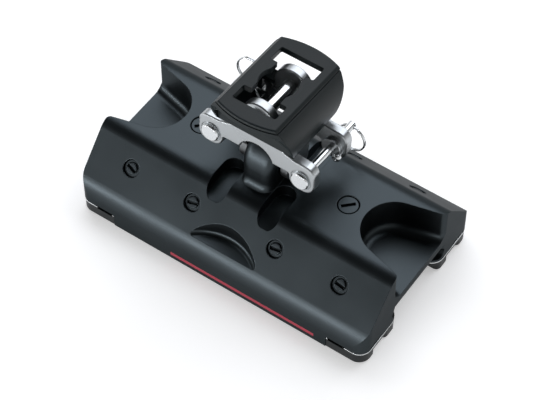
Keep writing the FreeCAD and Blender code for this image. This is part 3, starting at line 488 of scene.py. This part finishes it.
def split_ring(name, sizes, pin_x, lean):
    """Split ring: a wire whose path makes two turns and shifts by one pitch, leaning about its pin.

    Path: radius (sin u, cos u) from its top, with u over two turns, and y rising smoothly from -pitch / 2
    to +pitch / 2 round the half turn where the two ends overlap. The wire is a circle about it."""
    path_radius = (sizes.ring_diameter - sizes.ring_wire) / 2
    u = np.linspace(0, 4 * pi, sizes.ring_steps)
    shift = np.clip((u - sizes.ring_shift_start) / sizes.ring_shift_span, 0, 1)
    y = sizes.ring_pitch * (shift * shift * (3 - 2 * shift) - 0.5)
    turn = u + sizes.ring_start
    outward = np.stack([np.sin(turn), 0 * turn, np.cos(turn)], -1)
    centre = path_radius * outward + np.stack([0 * y, y, 0 * y], -1)
    along = np.gradient(centre, axis=0)
    along /= np.linalg.norm(along, axis=1)[:, None]
    across = np.cross(along, outward)
    v = np.linspace(0, 2 * pi, sizes.wire_sides, endpoint=False)[None, :, None]
    round_wire = np.cos(v) * outward[:, None] + np.sin(v) * across[:, None]
    tube = centre[:, None] + sizes.ring_wire / 2 * round_wire
    # Both ends run together in the middle of the wire
    first = np.repeat(centre[:1, None], sizes.wire_sides, 1)
    last = np.repeat(centre[-1:, None], sizes.wire_sides, 1)
    x, y, z = np.moveaxis(np.concatenate([first, tube, last]), -1, 0)
    # The ring hangs below its hole and leans sideways, then the whole toggle leans to the rear
    x, z = turn_about(x, z - sizes.ring_drop, -lean)
    height = z + sizes.ear_pin_height - sizes.hinge_height
    y, height = turn_about(y + sizes.ring_hole_y, height, sizes.toggle_lean)
    points = np.stack([x + pin_x, y, height + sizes.hinge_height], -1)
    piece = put_mesh(name, points, grid_faces(sizes.ring_steps + 2, sizes.wire_sides))
    close_up(piece)
    return piece


class TRAVELLER_OT_rings(bpy.types.Operator):
    """Two-turn split rings in the ear pins."""

    bl_idname = "traveller.rings"
    bl_label = "Split rings"

    def execute(self, context):
        sizes = context.scene.traveller_sizes
        places = (("right", sizes.ear_pin_x, sizes.right_ring), ("left", -sizes.ear_pin_x, -sizes.left_ring))
        for side, pin_x, lean in places:
            piece = split_ring("split_ring_" + side, sizes, pin_x, lean)
            ring = "clip_ring_" + side
            dress(piece, finish_of("Polished steel"), ring, ring)
        return {"FINISHED"}


class TRAVELLER_OT_toggle(bpy.types.Operator):
    """Finishes of the toggle, its boot and its pins."""

    bl_idname = "traveller.toggle"
    bl_label = "Toggle, boot and pins"

    def execute(self, context):
        dress_nodes(["toggle_frame"], finish_of("Tumbled steel"))
        dress_nodes(["toggle_boot"], finish_of("Boot plastic"))
        pins = ("lock_studs", "pivot_pin", "cross_pin", "cross_pin_clip", "ear_pin_left", "ear_pin_right")
        dress_nodes(pins, finish_of("Polished steel"))
        return {"FINISHED"}


# Stage


def area_light(name, place, target, width, height, strength, tint):
    """Rectangular soft light whose face has the given brightness."""
    light = bpy.data.lights.new(name, "AREA")
    light.shape = "RECTANGLE"
    light.size = width
    light.size_y = height
    light.energy = strength * width * height * pi
    light.color = tint
    lamp = bpy.data.objects.new(name, light)
    bpy.context.scene.collection.objects.link(lamp)
    lamp.location = place
    lamp.rotation_euler = (Vector(target) - Vector(place)).to_track_quat("-Z", "Y").to_euler()


def floor_material(stage):
    """Pale floor. Its lift to white shows only in the picture and in reflections, so the shadow stays."""
    made, tree, shader = new_material("Pale floor")
    shader.inputs["Base Color"].default_value = (*stage.floor_colour, 1)
    shader.inputs["Roughness"].default_value = 1.0
    shader.inputs["Specular IOR Level"].default_value = 0.0
    shader.inputs["Emission Color"].default_value = (1, 1, 1, 1)
    rays = shader_node(tree, "ShaderNodeLightPath", (-700, 0))
    seen = rays.outputs["Is Camera Ray"]
    for i, name in enumerate(("Is Glossy Ray", "Is Transmission Ray")):
        either = shader_node(tree, "ShaderNodeMath", (-500 + 180 * i, 0), operation="MAXIMUM")
        tree.links.new(seen, either.inputs[0])
        tree.links.new(rays.outputs[name], either.inputs[1])
        seen = either.outputs[0]
    lift = shader_node(tree, "ShaderNodeMath", (-100, 0), operation="MULTIPLY")
    lift.inputs[1].default_value = stage.floor_glow
    tree.links.new(seen, lift.inputs[0])
    tree.links.new(lift.outputs[0], shader.inputs["Emission Strength"])
    return made


def studio_world(stage):
    """Surroundings: even fill for matt surfaces; pale walls under a dark ceiling in reflections."""
    world = bpy.data.worlds.new("Studio")
    world.use_nodes = True
    tree = world.node_tree
    sky = tree.nodes["Background"]
    sky.inputs["Color"].default_value = (1, 1, 1, 1)
    place = shader_node(tree, "ShaderNodeTexCoord", (-900, 0))
    split = shader_node(tree, "ShaderNodeSeparateXYZ", (-700, 0))
    walls = shader_node(tree, "ShaderNodeMapRange", (-500, 0), interpolation_type="SMOOTHSTEP")
    walls.inputs["From Min"].default_value = sin(stage.wall_top)
    walls.inputs["From Max"].default_value = sin(stage.ceiling_start)
    walls.inputs["To Min"].default_value = stage.wall_strength
    walls.inputs["To Max"].default_value = stage.ceiling_strength
    rays = shader_node(tree, "ShaderNodeLightPath", (-500, 350))
    strength = shader_node(tree, "ShaderNodeMix", (-250, 0), data_type="FLOAT")
    strength.inputs["A"].default_value = stage.fill_strength
    tree.links.new(place.outputs["Generated"], split.inputs["Vector"])
    tree.links.new(split.outputs["Z"], walls.inputs["Value"])
    tree.links.new(rays.outputs["Is Glossy Ray"], strength.inputs["Factor"])
    tree.links.new(walls.outputs["Result"], strength.inputs["B"])
    tree.links.new(strength.outputs["Result"], sky.inputs["Strength"])
    return world


def put_camera(stage):
    """Camera at the photo's angle: back is the direction from the car to the camera."""
    a, e, r = stage.azimuth, stage.elevation, stage.roll
    back = Vector((sin(a) * cos(e), -cos(a) * cos(e), sin(e)))
    right = Vector((cos(a), sin(a), 0))
    up = back.cross(right)
    across = right * cos(r) + up * sin(r)
    upward = up * cos(r) - right * sin(r)
    camera = bpy.data.cameras.new("Photo camera")
    camera.lens = stage.lens
    camera.sensor_width = 36.0
    camera.clip_start = 0.1
    camera.clip_end = 100.0
    holder = bpy.data.objects.new("Photo camera", camera)
    bpy.context.scene.collection.objects.link(holder)
    place = back * stage.distance + across * stage.across + upward * stage.upwards
    turn = Matrix((across, upward, back)).transposed()
    holder.matrix_world = Matrix.Translation(place) @ turn.to_4x4()
    bpy.context.scene.camera = holder


class TRAVELLER_OT_stage(bpy.types.Operator):
    """Floor, lights, surroundings and camera."""

    bl_idname = "traveller.stage"
    bl_label = "Studio and camera"

    def execute(self, context):
        stage = context.scene.traveller_stage
        signs = np.array([(-1, -1, 0), (1, -1, 0), (1, 1, 0), (-1, 1, 0)])
        floor = put_mesh("floor", signs * stage.floor_reach, np.array([[0, 1, 2, 3]]))
        floor.data.materials.append(floor_material(stage))
        area_light(
            "Back light", stage.back_place, stage.aim, stage.back_width, stage.back_height,
            stage.back_strength, stage.back_tint,
        )
        area_light(
            "Front light", stage.front_place, stage.aim, stage.front_width, stage.front_height,
            stage.front_strength, stage.front_tint,
        )
        context.scene.world = studio_world(stage)
        context.scene.view_settings.view_transform = "Standard"
        put_camera(stage)
        return {"FINISHED"}


class TRAVELLER_PT_panel(bpy.types.Panel):
    """Lists the pieces and their settings."""

    bl_label = "Traveller car"
    bl_idname = "TRAVELLER_PT_panel"
    bl_space_type = "VIEW_3D"
    bl_region_type = "UI"
    bl_category = "Traveller car"

    def draw(self, context):
        for operator in operators:
            self.layout.operator(operator.bl_idname)
        scene = context.scene
        for group in (scene.traveller_finishes, scene.traveller_sizes, scene.traveller_stage):
            box = self.layout.box()
            for name in group.__annotations__:
                box.prop(group, name)


operators = (
    TRAVELLER_OT_stage,
    TRAVELLER_OT_body,
    TRAVELLER_OT_underside,
    TRAVELLER_OT_balls,
    TRAVELLER_OT_toggle,
    TRAVELLER_OT_rings,
)
groups = (TravellerFinishes, TravellerSizes, TravellerStage)


def register():
    for item in groups + operators + (TRAVELLER_PT_panel,):
        bpy.utils.register_class(item)
    bpy.types.Scene.traveller_finishes = PointerProperty(type=TravellerFinishes)
    bpy.types.Scene.traveller_sizes = PointerProperty(type=TravellerSizes)
    bpy.types.Scene.traveller_stage = PointerProperty(type=TravellerStage)


def unregister():
    del bpy.types.Scene.traveller_stage
    del bpy.types.Scene.traveller_sizes
    del bpy.types.Scene.traveller_finishes
    for item in reversed(groups + operators + (TRAVELLER_PT_panel,)):
        bpy.utils.unregister_class(item)


def main():
    """Registers the add-on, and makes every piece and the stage."""
    register()
    bpy.ops.traveller.stage()
    bpy.ops.traveller.body()
    bpy.ops.traveller.underside()
    bpy.ops.traveller.balls()
    bpy.ops.traveller.toggle()
    bpy.ops.traveller.rings()
    bpy.context.view_layer.update()


if __name__ == "__main__":
    main()
